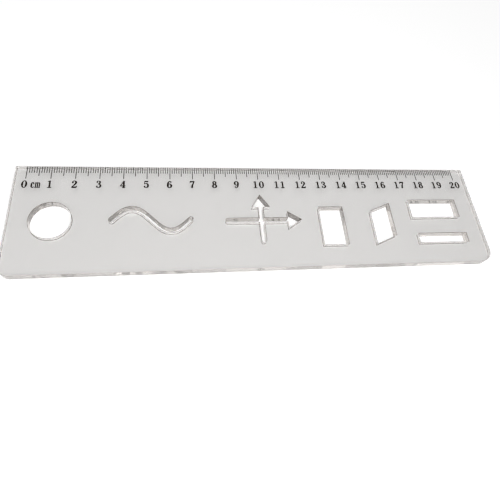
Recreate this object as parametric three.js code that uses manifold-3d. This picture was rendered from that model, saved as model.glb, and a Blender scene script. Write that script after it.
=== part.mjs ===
// A clear drawing template: one laser-cut acrylic sheet with stencil cut-outs, and a
// centimetre scale printed in black ink along its straight edge.
// Millimetres, +Z up. The origin is the middle of the underside, and the scale edge faces +Y.
import * as THREE from "three";
import { mergeVertices } from "three/addons/utils/BufferGeometryUtils.js";
import Module from "manifold-3d";

const wasm = await Module();
wasm.setup();

// Sheet
const sheetThickness = 3.7;
const leftCornerRadius = 4.5; // the corners away from the scale edge
const rightCornerRadius = 6;
const leftEnd = 8.3; // left end of the sheet to the circle
const rightEnd = 9.2; // lower bar to the right end of the sheet
const scaleBand = 14.7; // scale edge to the top of the tallest cut-out
const lowerBand = 10; // line that the cut-outs stand on, to the lower edge

// Slots that a pen follows
const slotWidth = 2;

// Circle
const circleDiameter = 16.6;
const circleRise = 13.7; // centre above the cut-outs' base line

// Wave: one period of a sine
const circleToWave = 14.7;
const waveLength = 33;
const waveAmplitude = 5.35;
const waveRise = 13.5; // mid line above the base line

// Crossed arrows: one points up, the other points right
const waveToArrows = 14.1;
const arrowHeadWidth = 8;
const arrowHeadLength = 6.1;
const levelArrowLength = 34.1;
const levelArrowRise = 12.6; // its axis above the base line
const uprightArrowLength = 23.5;
const uprightArrowRise = 1.8; // its tail above the base line
const uprightArrowOffset = 16.1; // its axis from the level arrow's tail

// Portrait rectangle
const arrowsToRectangle = 8.9;
const rectangleWidth = 11.3;
const rectangleHeight = 18.9;

// Parallelogram with two upright sides
const rectangleToParallelogram = 13.7;
const parallelogramWidth = 10;
const parallelogramSide = 16.6;
const parallelogramSlant = 4; // how far the right side stands above the left

// Two landscape bars, one above the other
const parallelogramToBars = 10.4;
const barLength = 24.4;
const upperBarHeight = 9.3;
const lowerBarHeight = 4.6;
const barSpacing = 8.4; // lower bar's top to upper bar's bottom
const lowerBarShift = 0.6; // how far the lower bar stands to the right

// Printed scale
const centimetre = 10;
const zeroMargin = 4.8; // left end of the sheet to the zero mark
const lastMargin = 2; // least room between the last mark and the right end
const edgeMargin = 0.3; // scale edge to the marks
const markWidth = 0.32;
const centimetreMarkLength = 6.1;
const halfMarkLength = 4.7;
const inkThickness = 0.05;

// How far a cutting solid runs past each face
const cutOverrun = 1;

// Facets of the round stretches
const circleSteps = 72;
const waveSteps = 56;
const cornerSteps = 10;
const slotEndSteps = 10;

// Places along the sheet, from its left end
const circleX = leftEnd + circleDiameter / 2;
const waveX = leftEnd + circleDiameter + circleToWave + slotWidth / 2;
const arrowsX = waveX + waveLength + slotWidth / 2 + waveToArrows;
const rectangleX = arrowsX + levelArrowLength + arrowsToRectangle;
const parallelogramX = rectangleX + rectangleWidth + rectangleToParallelogram;
const barsX = parallelogramX + parallelogramWidth + parallelogramToBars;
const sheetLength = barsX + lowerBarShift + barLength + rightEnd;

// Places across the sheet, from its lower edge
const baseY = lowerBand;
const upperBarRise = lowerBarHeight + barSpacing;
const tallestCutOut = Math.max(
  circleRise + circleDiameter / 2,
  waveRise + waveAmplitude + slotWidth / 2,
  levelArrowRise + arrowHeadWidth / 2,
  uprightArrowRise + uprightArrowLength,
  rectangleHeight,
  parallelogramSide + parallelogramSlant,
  upperBarRise + upperBarHeight,
);
const sheetWidth = baseY + tallestCutOut + scaleBand;

const acrylic = new THREE.MeshStandardMaterial({
  name: "clear_acrylic",
  color: 0xd4d2cf,
  roughness: 0.06,
  metalness: 0,
  transparent: true,
  opacity: 0.45,
});

const ink = new THREE.MeshStandardMaterial({
  name: "black_ink",
  color: 0x231f1d,
  roughness: 0.6,
  metalness: 0,
});

// Points of an arc about a centre, both ends included, from one angle to another in radians.
function arc(x, y, radius, from, to, steps) {
  const points = [];
  for (let i = 0; i <= steps; i++) {
    const angle = from + ((to - from) * i) / steps;
    points.push(new THREE.Vector2(x + radius * Math.cos(angle), y + radius * Math.sin(angle)));
  }
  return points;
}

// Upright rectangle from its lower left corner.
function rectangle(x, y, width, height) {
  return [
    new THREE.Vector2(x, y),
    new THREE.Vector2(x + width, y),
    new THREE.Vector2(x + width, y + height),
    new THREE.Vector2(x, y + height),
  ];
}

// The sheet's outline: square corners on the scale edge, round ones on the lower edge.
function sheetOutline() {
  const left = leftCornerRadius;
  const right = rightCornerRadius;
  return [
    ...arc(left, left, left, Math.PI, 1.5 * Math.PI, cornerSteps),
    ...arc(sheetLength - right, right, right, 1.5 * Math.PI, 2 * Math.PI, cornerSteps),
    new THREE.Vector2(sheetLength, sheetWidth),
    new THREE.Vector2(0, sheetWidth),
  ];
}

function circleCut() {
  const points = arc(circleX, baseY + circleRise, circleDiameter / 2, 0, 2 * Math.PI, circleSteps);
  points.pop(); // the last point is the first again
  return points;
}

// A slot of even width along one period of a sine, with round ends.
function waveCut() {
  const radius = slotWidth / 2;
  const turn = (2 * Math.PI) / waveLength;
  const midY = baseY + waveRise;
  const under = [];
  const over = [];
  for (let i = 0; i <= waveSteps; i++) {
    const along = (waveLength * i) / waveSteps;
    const centre = new THREE.Vector2(waveX + along, midY + waveAmplitude * Math.sin(turn * along));
    const slope = waveAmplitude * turn * Math.cos(turn * along);
    const normal = new THREE.Vector2(-slope, 1).normalize().multiplyScalar(radius);
    over.unshift(centre.clone().add(normal));
    under.push(centre.clone().sub(normal));
  }
  // Both ends of the sine rise at the same angle, which turns their half rounds.
  const rise = Math.atan(waveAmplitude * turn);
  const quarter = Math.PI / 2;
  const rightCap = arc(waveX + waveLength, midY, radius, rise - quarter, rise + quarter, slotEndSteps);
  const leftCap = arc(waveX, midY, radius, rise + quarter, rise + 3 * quarter, slotEndSteps);
  return [...under.slice(0, -1), ...rightCap, ...over.slice(1, -1), ...leftCap.slice(0, -1)];
}

// The two arrows cross, so they are one opening: counter-clockwise from the upright arrow's tail.
function arrowsCut() {
  const half = slotWidth / 2;
  const wing = arrowHeadWidth / 2;
  const axisX = arrowsX + uprightArrowOffset;
  const axisY = baseY + levelArrowRise;
  const tailY = baseY + uprightArrowRise;
  const tipX = arrowsX + levelArrowLength;
  const tipY = tailY + uprightArrowLength;
  const neckX = tipX - arrowHeadLength;
  const neckY = tipY - arrowHeadLength;
  return [
    ...arc(axisX, tailY + half, half, Math.PI, 2 * Math.PI, slotEndSteps),
    new THREE.Vector2(axisX + half, axisY - half),
    new THREE.Vector2(neckX, axisY - half),
    new THREE.Vector2(neckX, axisY - wing),
    new THREE.Vector2(tipX, axisY),
    new THREE.Vector2(neckX, axisY + wing),
    new THREE.Vector2(neckX, axisY + half),
    new THREE.Vector2(axisX + half, axisY + half),
    new THREE.Vector2(axisX + half, neckY),
    new THREE.Vector2(axisX + wing, neckY),
    new THREE.Vector2(axisX, tipY),
    new THREE.Vector2(axisX - wing, neckY),
    new THREE.Vector2(axisX - half, neckY),
    new THREE.Vector2(axisX - half, axisY + half),
    ...arc(arrowsX + half, axisY, half, 0.5 * Math.PI, 1.5 * Math.PI, slotEndSteps),
    new THREE.Vector2(axisX - half, axisY - half),
  ];
}

function parallelogramCut() {
  const right = parallelogramX + parallelogramWidth;
  return [
    new THREE.Vector2(parallelogramX, baseY),
    new THREE.Vector2(right, baseY + parallelogramSlant),
    new THREE.Vector2(right, baseY + parallelogramSlant + parallelogramSide),
    new THREE.Vector2(parallelogramX, baseY + parallelogramSide),
  ];
}

// A flat outline raised to a solid between two heights.
function raise(points, bottom, top) {
  const options = { depth: top - bottom, bevelEnabled: false };
  const geometry = new THREE.ExtrudeGeometry(new THREE.Shape(points), options);
  geometry.translate(0, 0, bottom);
  geometry.deleteAttribute("normal");
  geometry.deleteAttribute("uv");
  const merged = mergeVertices(geometry);
  const mesh = new wasm.Mesh({
    numProp: 3,
    vertProperties: new Float32Array(merged.attributes.position.array),
    triVerts: new Uint32Array(merged.index.array),
  });
  return new wasm.Manifold(mesh);
}

// The sheet is cut right through along each stencil outline.
function makeSheet() {
  const cuts = [
    circleCut(),
    waveCut(),
    arrowsCut(),
    rectangle(rectangleX, baseY, rectangleWidth, rectangleHeight),
    parallelogramCut(),
    rectangle(barsX, baseY + upperBarRise, barLength, upperBarHeight),
    rectangle(barsX + lowerBarShift, baseY, barLength, lowerBarHeight),
  ];
  let solid = raise(sheetOutline(), 0, sheetThickness);
  for (const points of cuts) {
    solid = solid.subtract(raise(points, -cutOverrun, sheetThickness + cutOverrun));
  }
  const { vertProperties, triVerts } = solid.getMesh();
  const geometry = new THREE.BufferGeometry();
  geometry.setAttribute("position", new THREE.BufferAttribute(vertProperties, 3));
  geometry.setIndex(new THREE.BufferAttribute(triVerts, 1));
  geometry.computeVertexNormals();
  const sheet = new THREE.Mesh(geometry, acrylic);
  sheet.name = "acrylic_sheet";
  return sheet;
}

// One printed stroke of the scale: a thin film of ink lying on the top face.
function makeMark(name, fromZero, length) {
  const mark = new THREE.Mesh(new THREE.BoxGeometry(markWidth, length, inkThickness), ink);
  mark.name = name;
  mark.position.set(
    zeroMargin + fromZero,
    sheetWidth - edgeMargin - length / 2,
    sheetThickness + inkThickness / 2,
  );
  return mark;
}

// As many whole centimetres as the sheet has room for, with a half mark inside each.
function makeScale() {
  const scale = new THREE.Group();
  const centimetres = Math.floor((sheetLength - zeroMargin - lastMargin) / centimetre);
  for (let i = 0; i <= centimetres; i++) {
    const number = String(i).padStart(2, "0");
    const place = i * centimetre;
    scale.add(makeMark(`centimetre_mark_${number}`, place, centimetreMarkLength));
    if (i < centimetres) {
      scale.add(makeMark(`half_centimetre_mark_${number}`, place + centimetre / 2, halfMarkLength));
    }
  }
  return scale;
}

const template = new THREE.Group();
template.add(makeSheet(), makeScale());
template.position.set(-sheetLength / 2, -sheetWidth / 2, 0);

export default template;
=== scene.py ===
"""A clear drawing template: a laser-cut acrylic sheet with a printed scale, on a pale floor."""

import math

import bmesh
import bpy
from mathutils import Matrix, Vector
from mathutils.geometry import delaunay_2d_cdt


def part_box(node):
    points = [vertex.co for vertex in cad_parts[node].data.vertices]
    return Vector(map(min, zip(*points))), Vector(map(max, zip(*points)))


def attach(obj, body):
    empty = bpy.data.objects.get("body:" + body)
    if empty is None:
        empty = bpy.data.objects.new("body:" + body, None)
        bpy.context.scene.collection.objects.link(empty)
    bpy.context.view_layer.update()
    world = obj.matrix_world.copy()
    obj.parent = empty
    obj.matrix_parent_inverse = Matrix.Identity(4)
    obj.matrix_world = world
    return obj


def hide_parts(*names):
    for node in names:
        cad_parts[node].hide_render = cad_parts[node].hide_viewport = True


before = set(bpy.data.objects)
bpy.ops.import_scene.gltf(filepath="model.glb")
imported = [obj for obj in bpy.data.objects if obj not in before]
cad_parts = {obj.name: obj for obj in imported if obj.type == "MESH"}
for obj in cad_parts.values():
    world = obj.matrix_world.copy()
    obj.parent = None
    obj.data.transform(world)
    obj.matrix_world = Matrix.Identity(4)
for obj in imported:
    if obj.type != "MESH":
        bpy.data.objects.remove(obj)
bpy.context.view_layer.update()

MM = 0.001

# The sheet's faces and edges, taken from the frame
SHEET_LOW, SHEET_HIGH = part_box("acrylic_sheet")
ZERO_LOW, ZERO_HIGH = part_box("centimetre_mark_00")
SCALE_EDGE = SHEET_HIGH.y
ZERO_X = (ZERO_LOW.x + ZERO_HIGH.x) / 2

# Sheet shape
UPPER_RIM = 0.14 * MM  # the laser melts both rims, and the upper one, where the beam enters, more
LOWER_RIM = 0.12 * MM
RIM_STEPS = 4
SHARP_CORNER = math.radians(40)
INK_BITE = 0.004 * MM  # the ink keys this far into the face, so no film of air lies under it
SAME_POINT = 0.001 * MM  # points closer than this are one
FACING_UP = 0.5  # a face whose normal rises more steeply than this is not a wall
FILL_TOLERANCE = 1e-9

# Sheet finish
WALL_HAZE = 0.2  # share of the light that the fine ridges of the cut scatter
OPENING_RIM_HAZE_AND_SHADE = 0.7
OUTER_RIM_HAZE_AND_SHADE = 0.32  # the outer rim's haze and painted shade are fainter, since the light falling on the outer edge shows it lighter
FACE_ROUGHNESS = 0.015
WALL_ROUGHNESS = 0.08
RIDGE_SPACING = 0.35 * MM  # real ridges are finer, and these are coarse enough to show
RIDGE_DEPTH = 0.01 * MM
RIDGE_STRENGTH = 0.25
RIDGE_WANDER = 1.5
RIDGE_DETAIL = 2.0
RIDGE_DETAIL_SCALE = 1.5
WAVE_TURN = 20  # radians of a wave texture for each unit of length, at a scale of one
ACRYLIC_IOR = 1.49
FACE_TONE = "#DCDBDA"
WALL_TONE = "#F0ECE8"
# painted shade: a dark tone laid on the rims, in place of the dark lines that refraction and contact
# shadow draw along each cut edge
RIM_SHADE_TONE = "#7A7069"
BODY_TONE = "#9E9C99"  # what is left of white light after a long way through the sheet
BODY_DENSITY = 6.0

# Ink finish
INK_DARK = "#120C08"
INK_PALE = "#2B2019"
INK_MOTTLE = 0.25 * MM  # about the spacing of a coarse printing mesh
INK_MOTTLE_DETAIL = 2.0
INK_ROUGHNESS_LOW = 0.55
INK_ROUGHNESS_HIGH = 0.8
INK_IOR = 1.5
INK_GLOSS = 0.2

# Scale
CENTIMETRES = 20
CENTIMETRE = 10 * MM
MARKS_PER_CENTIMETRE = 10
MARKS_PER_HALF = 5
MARK_WIDTH = ZERO_HIGH.x - ZERO_LOW.x
MARK_EDGE_GAP = SCALE_EDGE - ZERO_HIGH.y
MILLIMETRE_MARK_LENGTH = 3.1 * MM
INK_HEIGHT = ZERO_HIGH.z - ZERO_LOW.z

# Numerals, below the marks
NUMERAL_TOP = 7.4 * MM  # from the scale edge
NUMERAL_HEIGHT = 3.6 * MM
DIGIT_ADVANCE = 2.9 * MM
INK_SPREAD = 0.03  # how much wider than drawn a stroke prints, as a share of the numeral's height
STROKE_TOLERANCE = 1e-5  # as a share of the numeral's height
ONE_DIGIT_SHIFT = 0.2 * MM  # a single digit stands this far left of its mark
UNIT_LEFT = 2.35 * MM  # from the zero mark
UNIT_HEIGHT = 2.7 * MM
UNIT_C_WIDTH = 1.5 * MM
UNIT_GAP = 0.2 * MM
UNIT_M_WIDTH = 2.1 * MM

# Camera, in the template's frame
CAMERA_PLACE = Vector((-39.15, -92.39, 176.40)) * MM
CAMERA_TURN = [math.radians(angle) for angle in (29.773, -8.927, -5.478)]
SENSOR_WIDTH = 36.0
IMAGE_SIDE = 500
FOCAL_PIXELS = 449.35
OPTICAL_CENTRE = (256.9, 205.96)  # in pixels from the image's upper left corner
NEAREST_VIEW = 10 * MM

# Stage
FLOOR_SIDE = 3.0
FLOOR_GAP = 0.03 * MM
KEY_PLACE = Vector((-26, -125, 200)) * MM
KEY_SIDE = 200 * MM
KEY_POWER = 0.3
PAPER_TONE = "#E8E8E8"
PAPER_LIFT = 0.40
DOME_SIDES = 0.45  # light from the dome's foot, all round
DOME_TOP = 0.7
WHITE = (1, 1, 1, 1)

# Render: light crosses many clear walls before it leaves the sheet
PIXEL_FILTER = 1.35  # width in pixels
ALL_BOUNCES = 32
CLEAR_BOUNCES = 24


def linear(hex_colour):
    """An sRGB hex colour as linear red, green, blue and alpha."""
    channels = []
    for place in (1, 3, 5):
        value = int(hex_colour[place:place + 2], 16) / 255
        channels.append(value / 12.92 if value <= 0.04045 else ((value + 0.055) / 1.055) ** 2.4)
    return (*channels, 1.0)


def add_node(tree, kind, inputs=None, **settings):
    """One node of a tree: settings are its own properties, and inputs are values or sockets to link.
    An input goes by its identifier, name or number."""
    made = tree.nodes.new(kind)
    for name, value in settings.items():
        setattr(made, name, value)
    identified = {socket.identifier: socket for socket in made.inputs}
    for key, value in (inputs or {}).items():
        socket = identified.get(key) or made.inputs[key]
        if isinstance(value, bpy.types.NodeSocket):
            tree.links.new(value, socket)
        else:
            socket.default_value = value
    return made


def new_material(name):
    """An empty node material."""
    material = bpy.data.materials.new(name)
    material.use_nodes = True
    material.node_tree.nodes.clear()
    return material


def new_object(name, mesh):
    """A mesh object in the scene, at the origin."""
    made = bpy.data.objects.new(name, mesh)
    bpy.context.scene.collection.objects.link(made)
    return made


def cast_acrylic():
    """Cast acrylic, laser cut: clear with a faint grey, mirror-smooth faces, finely ridged cut walls,
    and along each rim a thin hazy line of painted shade, which draws every opening's outline."""
    material = new_material("cast_acrylic")
    tree = material.node_tree
    haze_and_shade = add_node(tree, "ShaderNodeAttribute", attribute_name="haze_and_shade").outputs["Fac"]
    cut = add_node(tree, "ShaderNodeMapRange", {"Value": haze_and_shade, "From Max": WALL_HAZE})
    # painted shade: how much of the dark rim tone a face takes
    rim_shade = add_node(
        tree, "ShaderNodeMapRange", {"Value": haze_and_shade, "From Min": WALL_HAZE, "From Max": OPENING_RIM_HAZE_AND_SHADE}
    )
    clear = add_node(tree, "ShaderNodeMath", {0: 1.0, 1: haze_and_shade}, operation="SUBTRACT")
    place = add_node(tree, "ShaderNodeUVMap", uv_map="along_the_cut")
    ridges = add_node(
        tree, "ShaderNodeTexWave",
        {"Vector": place.outputs["UV"], "Scale": 2 * math.pi / WAVE_TURN / RIDGE_SPACING,
         "Distortion": RIDGE_WANDER, "Detail": RIDGE_DETAIL, "Detail Scale": RIDGE_DETAIL_SCALE},
        wave_type="BANDS", bands_direction="X", wave_profile="SIN",
    )
    ridge_height = add_node(
        tree, "ShaderNodeMath", {0: ridges.outputs["Fac"], 1: cut.outputs[0]}, operation="MULTIPLY"
    )
    bump = add_node(
        tree, "ShaderNodeBump",
        {"Height": ridge_height.outputs[0], "Strength": RIDGE_STRENGTH, "Distance": RIDGE_DEPTH},
    )
    roughness = add_node(
        tree, "ShaderNodeMapRange",
        {"Value": cut.outputs[0], "To Min": FACE_ROUGHNESS, "To Max": WALL_ROUGHNESS},
    )
    clear_colour = add_node(
        tree, "ShaderNodeMix",
        {"Factor_Float": cut.outputs[0], "A_Color": linear(FACE_TONE), "B_Color": linear(WALL_TONE)},
        data_type="RGBA",
    )
    # the rims take the dark tone of painted shade
    colour = add_node(
        tree, "ShaderNodeMix",
        {"Factor_Float": rim_shade.outputs[0], "A_Color": clear_colour.outputs[2],
         "B_Color": linear(RIM_SHADE_TONE)},
        data_type="RGBA",
    )
    surface = add_node(
        tree, "ShaderNodeBsdfPrincipled",
        {"Base Color": colour.outputs[2], "Roughness": roughness.outputs[0], "IOR": ACRYLIC_IOR,
         "Transmission Weight": clear.outputs[0], "Normal": bump.outputs[0]},
    )
    tint = add_node(
        tree, "ShaderNodeVolumeAbsorption", {"Color": linear(BODY_TONE), "Density": BODY_DENSITY}
    )
    add_node(
        tree, "ShaderNodeOutputMaterial", {"Surface": surface.outputs[0], "Volume": tint.outputs[0]}
    )
    return material


def screen_ink():
    """Black screen-printing ink: a satin film, a little uneven where the mesh laid it down."""
    material = new_material("screen_ink")
    tree = material.node_tree
    place = add_node(tree, "ShaderNodeTexCoord")
    mottle = add_node(
        tree, "ShaderNodeTexNoise",
        {"Vector": place.outputs["Object"], "Scale": 1 / INK_MOTTLE, "Detail": INK_MOTTLE_DETAIL},
    )
    colour = add_node(
        tree, "ShaderNodeMix",
        {"Factor_Float": mottle.outputs["Fac"], "A_Color": linear(INK_DARK),
         "B_Color": linear(INK_PALE)},
        data_type="RGBA",
    )
    roughness = add_node(
        tree, "ShaderNodeMapRange",
        {"Value": mottle.outputs["Fac"], "To Min": INK_ROUGHNESS_LOW, "To Max": INK_ROUGHNESS_HIGH},
    )
    surface = add_node(
        tree, "ShaderNodeBsdfPrincipled",
        {"Base Color": colour.outputs[2], "Roughness": roughness.outputs[0], "IOR": INK_IOR,
         "Specular IOR Level": INK_GLOSS},
    )
    add_node(tree, "ShaderNodeOutputMaterial", {"Surface": surface.outputs[0]})
    return material


ACRYLIC = cast_acrylic()
INK = screen_ink()


def rim_loops(node):
    """The outlines of a flat sheet's upper face, in order, each with the sheet on its left."""
    solid = bmesh.new()
    solid.from_mesh(node.data)
    bmesh.ops.remove_doubles(solid, verts=solid.verts, dist=SAME_POINT)
    following = {}
    for face in solid.faces:
        if face.normal.z < FACING_UP:
            continue
        for corner in face.loops:
            other = corner.link_loop_radial_next.face
            if abs(other.normal.z) < FACING_UP:
                following[corner.vert] = corner.link_loop_next.vert
    loops = []
    while following:
        vert = next(iter(following))
        loop = []
        while vert in following:
            loop.append(vert.co.xy.copy())
            vert = following.pop(vert)
        loops.append(loop)
    solid.free()
    return loops


def inset(loop, distance):
    """A closed outline moved to its left by a distance."""
    moved = []
    for before, point, after in zip(loop[-1:] + loop[:-1], loop, loop[1:] + loop[:1]):
        come = (point - before).normalized().orthogonal()
        leave = (after - point).normalized().orthogonal()
        moved.append(point + (come + leave) * distance / (1 + come.dot(leave)))
    return moved


def signed_area(loop):
    """A closed outline's area, negative where it runs clockwise, as a hole's does."""
    return sum(a.cross(b) for a, b in zip(loop, loop[1:] + loop[:1])) / 2


def fill(loops):
    """Triangles between an outer outline and its holes, as indices into the loops' points in order."""
    points = [point for loop in loops for point in loop]
    faces = []
    start = 0
    for loop in loops:
        indices = list(range(start, start + len(loop)))
        faces.append(indices if signed_area(loop) > 0 else indices[::-1])
        start += len(loop)
    outer = max(range(len(loops)), key=lambda i: signed_area(loops[i]))
    _, _, triangles, sources, _, owners = delaunay_2d_cdt(
        points, [], faces, 1, FILL_TOLERANCE
    )
    return [[sources[i][0] for i in t] for t, owner in zip(triangles, owners) if owner == [outer]]


def make_sheet():
    """The sheet with its rims eased, its cut walls marked and measured along, and its faces flat."""
    loops = rim_loops(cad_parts["acrylic_sheet"])
    low = SHEET_LOW.z
    high = SHEET_HIGH.z + INK_BITE
    lower, upper = [], []
    for step in range(RIM_STEPS + 1):
        turn = math.pi / 2 * step / RIM_STEPS
        back = 1 - math.sin(turn)
        rise = 1 - math.cos(turn)
        lower.append((LOWER_RIM * back, low + LOWER_RIM * rise))
        upper.append((UPPER_RIM * back, high - UPPER_RIM * rise))
    profile = lower + upper[::-1]

    sheet = bmesh.new()
    haze_and_shade = sheet.faces.layers.float.new("haze_and_shade")
    along = sheet.loops.layers.uv.new("along_the_cut")
    under, over, wall_ends = [], [], []
    for loop in loops:
        rings = [[sheet.verts.new((*p, z)) for p in inset(loop, back)] for back, z in profile]
        under += rings[0]
        over += rings[-1]
        # the rim strips carry haze and painted shade, fainter along the outer edge
        rim_haze_and_shade = OUTER_RIM_HAZE_AND_SHADE if signed_area(loop) > 0 else OPENING_RIM_HAZE_AND_SHADE
        lengths = [0.0]
        for a, b in zip(loop, loop[1:] + loop[:1]):
            lengths.append(lengths[-1] + (b - a).length)
        for i in range(len(loop)):
            j = (i + 1) % len(loop)
            for ring, (below, above) in enumerate(zip(rings, rings[1:])):
                wall = sheet.faces.new((below[i], below[j], above[j], above[i]))
                wall[haze_and_shade] = WALL_HAZE if ring == RIM_STEPS else rim_haze_and_shade
                wall.smooth = True
                for corner, length in zip(wall.loops, (i, i + 1, i + 1, i)):
                    corner[along].uv = (lengths[length], corner.vert.co.z)
        for ring in rings[RIM_STEPS:RIM_STEPS + 2]:
            wall_ends += [sheet.edges.get(pair) for pair in zip(ring, ring[1:] + ring[:1])]
    for triangle in fill([inset(loop, UPPER_RIM) for loop in loops]):
        for face in (
            sheet.faces.new([over[i] for i in triangle]),
            sheet.faces.new([under[i] for i in reversed(triangle)]),
        ):
            for corner in face.loops:
                corner[along].uv = corner.vert.co.xy
    sheet.normal_update()
    for edge in sheet.edges:
        edge.smooth = edge.calc_face_angle() < SHARP_CORNER
    for edge in wall_ends:
        edge.smooth = False  # a wall stays flat from rim to rim
    mesh = bpy.data.meshes.new("clear_sheet")
    sheet.to_mesh(mesh)
    sheet.free()
    mesh.materials.append(ACRYLIC)
    return new_object("clear_sheet", mesh)


def millimetre_marks():
    """Every millimetre mark that is neither a centimetre nor a half, repeated along the scale."""
    tree = bpy.data.node_groups.new("millimetre_marks", "GeometryNodeTree")
    sockets = {}
    for name, kind in (
        ("First Mark", "NodeSocketVector"),
        ("Spacing", "NodeSocketFloat"),
        ("Count", "NodeSocketInt"),
        ("Left Out Every", "NodeSocketInt"),
        ("Mark Size", "NodeSocketVector"),
        ("Ink", "NodeSocketMaterial"),
    ):
        sockets[name] = tree.interface.new_socket(name, in_out="INPUT", socket_type=kind).identifier
    tree.interface.new_socket("Marks", in_out="OUTPUT", socket_type="NodeSocketGeometry")
    given = add_node(tree, "NodeGroupInput").outputs
    step = add_node(tree, "ShaderNodeCombineXYZ", {"X": given["Spacing"]})
    line = add_node(
        tree, "GeometryNodeMeshLine",
        {"Count": given["Count"], "Start Location": given["First Mark"], "Offset": step.outputs[0]},
    )
    index = add_node(tree, "GeometryNodeInputIndex")
    rest = add_node(
        tree, "FunctionNodeIntegerMath",
        {0: index.outputs[0], 1: given["Left Out Every"]}, operation="MODULO",
    )
    longer = add_node(
        tree, "FunctionNodeCompare", {"A_INT": rest.outputs[0]}, data_type="INT", operation="EQUAL"
    )
    places = add_node(
        tree, "GeometryNodeDeleteGeometry",
        {"Geometry": line.outputs[0], "Selection": longer.outputs[0]}, domain="POINT",
    )
    mark = add_node(tree, "GeometryNodeMeshCube", {"Size": given["Mark Size"]})
    marks = add_node(
        tree, "GeometryNodeInstanceOnPoints",
        {"Points": places.outputs[0], "Instance": mark.outputs["Mesh"]},
    )
    solid = add_node(tree, "GeometryNodeRealizeInstances", {"Geometry": marks.outputs[0]})
    inked = add_node(
        tree, "GeometryNodeSetMaterial", {"Geometry": solid.outputs[0], "Material": given["Ink"]}
    )
    add_node(tree, "NodeGroupOutput", {"Marks": inked.outputs[0]})

    size = Vector((MARK_WIDTH, MILLIMETRE_MARK_LENGTH, INK_HEIGHT))
    first = Vector((ZERO_X, SCALE_EDGE - MARK_EDGE_GAP - size.y / 2, ZERO_LOW.z + size.z / 2))
    maker = new_object("marks_maker", bpy.data.meshes.new("marks_maker"))
    modifier = maker.modifiers.new("marks", "NODES")
    modifier.node_group = tree
    modifier[sockets["First Mark"]] = first
    modifier[sockets["Spacing"]] = CENTIMETRE / MARKS_PER_CENTIMETRE
    modifier[sockets["Count"]] = CENTIMETRES * MARKS_PER_CENTIMETRE + 1
    modifier[sockets["Left Out Every"]] = MARKS_PER_HALF
    modifier[sockets["Mark Size"]] = size
    modifier[sockets["Ink"]] = INK
    evaluated = maker.evaluated_get(bpy.context.evaluated_depsgraph_get())
    mesh = bpy.data.meshes.new_from_object(evaluated)
    mesh.name = "millimetre_marks"
    bpy.data.objects.remove(maker)
    return new_object("millimetre_marks", mesh)


def pen(*points, steps=6):
    """A stroke through (x, y, width) points, smoothed between them, as a strip of four-sided pieces."""
    path = [Vector(p) for p in points]
    path = [2 * path[0] - path[1], *path, 2 * path[-1] - path[-2]]
    samples = []
    for a, b, c, d in zip(path, path[1:], path[2:], path[3:]):
        for step in range(steps):
            t = step / steps
            bend = 2 * a - 5 * b + 4 * c - d
            twist = 3 * b - a - 3 * c + d
            samples.append(0.5 * (2 * b + (c - a) * t + bend * t ** 2 + twist * t ** 3))
    samples.append(path[-2])
    left, right = [], []
    for i, sample in enumerate(samples):
        ahead = samples[min(i + 1, len(samples) - 1)] - samples[max(i - 1, 0)]
        side = ahead.xy.normalized().orthogonal() * (sample.z + INK_SPREAD) / 2
        left.append(sample.xy + side)
        right.append(sample.xy - side)
    return [[right[i], right[i + 1], left[i + 1], left[i]] for i in range(len(samples) - 1)]


def bar(*points):
    """A straight stroke between two (x, y, width) points."""
    return pen(*points, steps=1)


def bowl(x, y, across, up, thin, thick, steps=32):
    """A closed oval stroke, thin at its top and bottom and thick at its sides."""
    inner, outer = [], []
    for i in range(steps + 1):
        turn = 2 * math.pi * i / steps
        width = thin + (thick - thin) * math.cos(turn) ** 2 + INK_SPREAD
        for ring, grow in ((inner, -width / 2), (outer, width / 2)):
            place = ((across + grow) * math.cos(turn), (up + grow) * math.sin(turn))
            ring.append(Vector((x + place[0], y + place[1])))
    return [[inner[i], outer[i], outer[i + 1], inner[i + 1]] for i in range(steps)]


def ball(x, y, radius, steps=16):
    """A round stroke end."""
    radius += INK_SPREAD / 2
    turns = [2 * math.pi * i / steps for i in range(steps)]
    return [[Vector((x + radius * math.cos(t), y + radius * math.sin(t))) for t in turns]]


def half_turn(pieces, x, y):
    """The same strokes turned upside down about a point."""
    return [[Vector((2 * x - p.x, 2 * y - p.y)) for p in piece] for piece in pieces]


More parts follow.
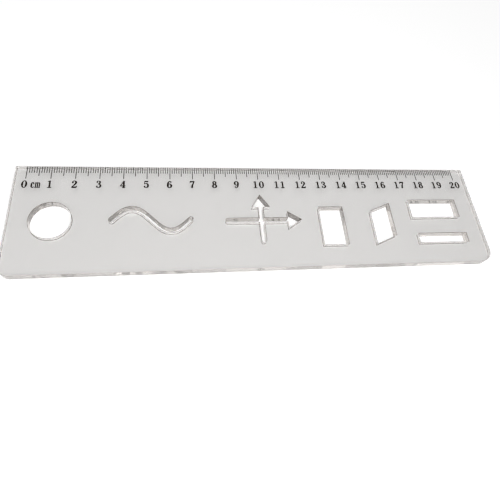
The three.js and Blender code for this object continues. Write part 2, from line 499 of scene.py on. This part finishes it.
def numeral_strokes():
    """Bold upright numerals and the unit's letters, one high: thick sides, hairlines and ball ends."""
    six = (
        bowl(0.32, 0.305, 0.21, 0.27, 0.08, 0.21)
        + pen(
            (0.50, 0.88, 0.06), (0.36, 0.96, 0.07), (0.18, 0.80, 0.14), (0.11, 0.48, 0.19),
            (0.12, 0.30, 0.19),
        )
        + ball(0.48, 0.85, 0.085)
    )
    stems, arches = [], []
    for x in (0.14, 0.50, 0.86):
        stems += bar((x, 0.90, 0.20), (x, 0.02, 0.20))
        stems += bar((x - 0.15, 0.05, 0.10), (x + 0.15, 0.05, 0.10))
    for x in (0.14, 0.50):
        arches += pen(
            (x + 0.02, 0.70, 0.09), (x + 0.14, 0.90, 0.11), (x + 0.27, 0.92, 0.15),
            (x + 0.36, 0.78, 0.20),
        )
    return {
        "0": bowl(0.32, 0.5, 0.22, 0.465, 0.07, 0.20),
        "1": bar((0.34, 1.0, 0.17), (0.34, 0.02, 0.17))
        + bar((0.34, 0.96, 0.07), (0.10, 0.87, 0.05))
        + bar((0.10, 0.035, 0.07), (0.58, 0.035, 0.07)),
        "2": ball(0.14, 0.74, 0.09)
        + pen(
            (0.09, 0.80, 0.06), (0.18, 0.93, 0.07), (0.32, 0.965, 0.08), (0.47, 0.87, 0.16),
            (0.50, 0.71, 0.20), (0.40, 0.50, 0.15), (0.22, 0.29, 0.10), (0.08, 0.12, 0.08),
        )
        + bar((0.03, 0.085, 0.17), (0.56, 0.085, 0.17))
        + bar((0.56, 0.04, 0.09), (0.60, 0.28, 0.05)),
        "3": ball(0.14, 0.80, 0.085)
        + pen(
            (0.09, 0.85, 0.06), (0.18, 0.94, 0.07), (0.30, 0.965, 0.07), (0.44, 0.88, 0.15),
            (0.46, 0.75, 0.18), (0.39, 0.60, 0.12), (0.22, 0.535, 0.06),
        )
        + pen(
            (0.22, 0.535, 0.06), (0.41, 0.50, 0.11), (0.52, 0.37, 0.18), (0.53, 0.25, 0.19),
            (0.45, 0.10, 0.15), (0.29, 0.035, 0.07), (0.15, 0.07, 0.07), (0.08, 0.17, 0.06),
        )
        + ball(0.13, 0.20, 0.09),
        "4": bar((0.45, 0.98, 0.08), (0.06, 0.29, 0.08))
        + bar((0.02, 0.275, 0.10), (0.64, 0.275, 0.10))
        + bar((0.44, 1.0, 0.19), (0.44, 0.02, 0.19))
        + bar((0.24, 0.035, 0.07), (0.63, 0.035, 0.07)),
        "5": bar((0.12, 0.915, 0.15), (0.55, 0.915, 0.15))
        + bar((0.13, 0.98, 0.06), (0.095, 0.52, 0.06))
        + pen(
            (0.09, 0.53, 0.06), (0.18, 0.60, 0.07), (0.32, 0.63, 0.08), (0.48, 0.54, 0.16),
            (0.53, 0.34, 0.20), (0.47, 0.13, 0.16), (0.30, 0.035, 0.07), (0.15, 0.07, 0.07),
            (0.08, 0.17, 0.06),
        )
        + ball(0.13, 0.20, 0.09),
        "6": six,
        "7": bar((0.06, 0.91, 0.17), (0.61, 0.91, 0.17))
        + bar((0.075, 0.97, 0.05), (0.055, 0.70, 0.05))
        + pen((0.58, 0.93, 0.07), (0.44, 0.62, 0.13), (0.33, 0.33, 0.18), (0.29, 0.0, 0.21)),
        "8": bowl(0.32, 0.755, 0.165, 0.21, 0.085, 0.18) + bowl(0.32, 0.275, 0.205, 0.24, 0.085, 0.21),
        "9": half_turn(six, 0.32, 0.5),
        "c": ball(0.50, 0.77, 0.10)
        + pen(
            (0.55, 0.83, 0.09), (0.46, 0.92, 0.10), (0.33, 0.95, 0.12), (0.17, 0.82, 0.22),
            (0.13, 0.5, 0.26), (0.17, 0.18, 0.22), (0.35, 0.05, 0.12), (0.48, 0.08, 0.10),
            (0.59, 0.22, 0.08),
        ),
        "m": stems + bar((0.0, 0.93, 0.08), (0.22, 0.93, 0.08)) + arches,
    }


def joined(pieces):
    """Overlapping flat pieces as one set of points and triangles with no overlaps."""
    points, faces = [], []
    for piece in pieces:
        start = len(points)
        points += piece
        indices = list(range(start, len(points)))
        faces.append(indices if signed_area(piece) > 0 else indices[::-1])
    made, _, triangles, _, _, owners = delaunay_2d_cdt(points, [], faces, 1, STROKE_TOLERANCE)
    return made, [t for t, owner in zip(triangles, owners) if owner]


def lay_glyph(print_mesh, glyph, left, base, width, height):
    """One printed sign, as a thin film on the face, fitted to a box."""
    points, triangles = glyph
    used = sorted({i for t in triangles for i in t})
    low = min(points[i].x for i in used)
    scale = width / (max(points[i].x for i in used) - low)
    under, over = {}, {}
    for i in used:
        x = left + (points[i].x - low) * scale
        y = base + points[i].y * height
        under[i] = print_mesh.verts.new((x, y, ZERO_LOW.z))
        over[i] = print_mesh.verts.new((x, y, ZERO_HIGH.z))
    sides = {}
    for a, b, c in triangles:
        print_mesh.faces.new((over[a], over[b], over[c]))
        print_mesh.faces.new((under[c], under[b], under[a]))
        for edge in ((a, b), (b, c), (c, a)):
            if edge[::-1] in sides:
                del sides[edge[::-1]]
            else:
                sides[edge] = True
    for a, b in sides:
        print_mesh.faces.new((under[a], under[b], over[b], over[a]))


def glyph_width(glyph):
    """How wide a sign is drawn, as a share of its height."""
    points, triangles = glyph
    across = [points[i].x for t in triangles for i in t]
    return max(across) - min(across)


def finish_print(name, print_mesh):
    """The laid signs as one inked object."""
    mesh = bpy.data.meshes.new(name)
    print_mesh.to_mesh(mesh)
    print_mesh.free()
    mesh.materials.append(INK)
    return new_object(name, mesh)


def make_numerals(glyphs):
    """The numbers of the centimetre marks, below their marks."""
    numerals = bmesh.new()
    base = SCALE_EDGE - NUMERAL_TOP - NUMERAL_HEIGHT
    for number in range(CENTIMETRES + 1):
        digits = str(number)
        middle = ZERO_X + number * CENTIMETRE - (ONE_DIGIT_SHIFT if len(digits) == 1 else 0.0)
        for place, digit in enumerate(digits):
            width = glyph_width(glyphs[digit]) * NUMERAL_HEIGHT
            centre = middle + (place - (len(digits) - 1) / 2) * DIGIT_ADVANCE
            lay_glyph(numerals, glyphs[digit], centre - width / 2, base, width, NUMERAL_HEIGHT)
    return finish_print("scale_numerals", numerals)


def make_unit(glyphs):
    """The unit's sign, beside the zero."""
    unit = bmesh.new()
    base = SCALE_EDGE - NUMERAL_TOP - NUMERAL_HEIGHT
    left = ZERO_X + UNIT_LEFT
    lay_glyph(unit, glyphs["c"], left, base, UNIT_C_WIDTH, UNIT_HEIGHT)
    lay_glyph(unit, glyphs["m"], left + UNIT_C_WIDTH + UNIT_GAP, base, UNIT_M_WIDTH, UNIT_HEIGHT)
    return finish_print("unit_sign", unit)


def make_camera():
    """The photograph's viewpoint: close, above the lower left part of the sheet."""
    lens = bpy.data.cameras.new("camera")
    lens.sensor_width = SENSOR_WIDTH
    lens.lens = FOCAL_PIXELS / IMAGE_SIDE * SENSOR_WIDTH
    lens.shift_x = 0.5 - OPTICAL_CENTRE[0] / IMAGE_SIDE
    lens.shift_y = OPTICAL_CENTRE[1] / IMAGE_SIDE - 0.5
    lens.clip_start = NEAREST_VIEW
    camera = bpy.data.objects.new("camera", lens)
    camera.location = CAMERA_PLACE
    camera.rotation_euler = CAMERA_TURN
    bpy.context.scene.collection.objects.link(camera)
    bpy.context.scene.camera = camera


def white_paper():
    """Matt white paper: it takes the shadow, and its lit part reads as white to the eye."""
    material = new_material("white_paper")
    tree = material.node_tree
    ray = add_node(tree, "ShaderNodeLightPath")
    seen = add_node(
        tree, "ShaderNodeMath",
        {0: ray.outputs["Is Camera Ray"], 1: ray.outputs["Is Glossy Ray"]}, operation="MAXIMUM",
    )
    seen = add_node(
        tree, "ShaderNodeMath",
        {0: seen.outputs[0], 1: ray.outputs["Is Transmission Ray"]}, operation="MAXIMUM",
    )
    lift = add_node(tree, "ShaderNodeMath", {0: seen.outputs[0], 1: PAPER_LIFT}, operation="MULTIPLY")
    paper = add_node(tree, "ShaderNodeBsdfDiffuse", {"Color": linear(PAPER_TONE)})
    glow = add_node(tree, "ShaderNodeEmission", {"Color": WHITE, "Strength": lift.outputs[0]})
    both = add_node(tree, "ShaderNodeAddShader", {0: paper.outputs[0], 1: glow.outputs[0]})
    add_node(tree, "ShaderNodeOutputMaterial", {"Surface": both.outputs[0]})
    return material


def make_stage():
    """A plain floor, a soft dome of light that is brightest overhead, and a lamp near the viewer."""
    half = FLOOR_SIDE / 2
    mesh = bpy.data.meshes.new("floor")
    z = SHEET_LOW.z - FLOOR_GAP
    corners = [(-half, -half, z), (half, -half, z), (half, half, z), (-half, half, z)]
    mesh.from_pydata(corners, [], [(0, 1, 2, 3)])
    mesh.materials.append(white_paper())
    new_object("floor", mesh)

    lamp = bpy.data.lights.new("key_lamp", "AREA")
    lamp.size = KEY_SIDE
    lamp.energy = KEY_POWER
    key = bpy.data.objects.new("key_lamp", lamp)
    key.location = KEY_PLACE
    key.rotation_euler = KEY_PLACE.to_track_quat("Z", "Y").to_euler()
    key.visible_camera = False
    bpy.context.scene.collection.objects.link(key)

    world = bpy.data.worlds.new("studio")
    world.use_nodes = True
    tree = world.node_tree
    tree.nodes.clear()
    direction = add_node(tree, "ShaderNodeTexCoord")
    height = add_node(tree, "ShaderNodeSeparateXYZ", {0: direction.outputs["Generated"]})
    brightness = add_node(
        tree, "ShaderNodeMapRange",
        {"Value": height.outputs["Z"], "To Min": DOME_SIDES, "To Max": DOME_TOP},
    )
    light = add_node(tree, "ShaderNodeBackground", {"Color": WHITE, "Strength": brightness.outputs[0]})
    add_node(tree, "ShaderNodeOutputWorld", {"Surface": light.outputs[0]})
    bpy.context.scene.world = world


make_camera()
make_stage()

sheet = make_sheet()
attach(sheet, "root")
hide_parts("acrylic_sheet")

glyphs = {sign: joined(strokes) for sign, strokes in numeral_strokes().items()}
for piece in (millimetre_marks(), make_numerals(glyphs), make_unit(glyphs)):
    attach(piece, "root")

for name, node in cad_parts.items():
    if name != "acrylic_sheet":
        node.data.materials.clear()
        node.data.materials.append(INK)

scene = bpy.context.scene
scene.view_settings.view_transform = "Standard"
scene.cycles.filter_width = PIXEL_FILTER
scene.cycles.max_bounces = ALL_BOUNCES
scene.cycles.blur_glossy = 0.0
scene.cycles.glossy_bounces = CLEAR_BOUNCES
scene.cycles.transmission_bounces = CLEAR_BOUNCES
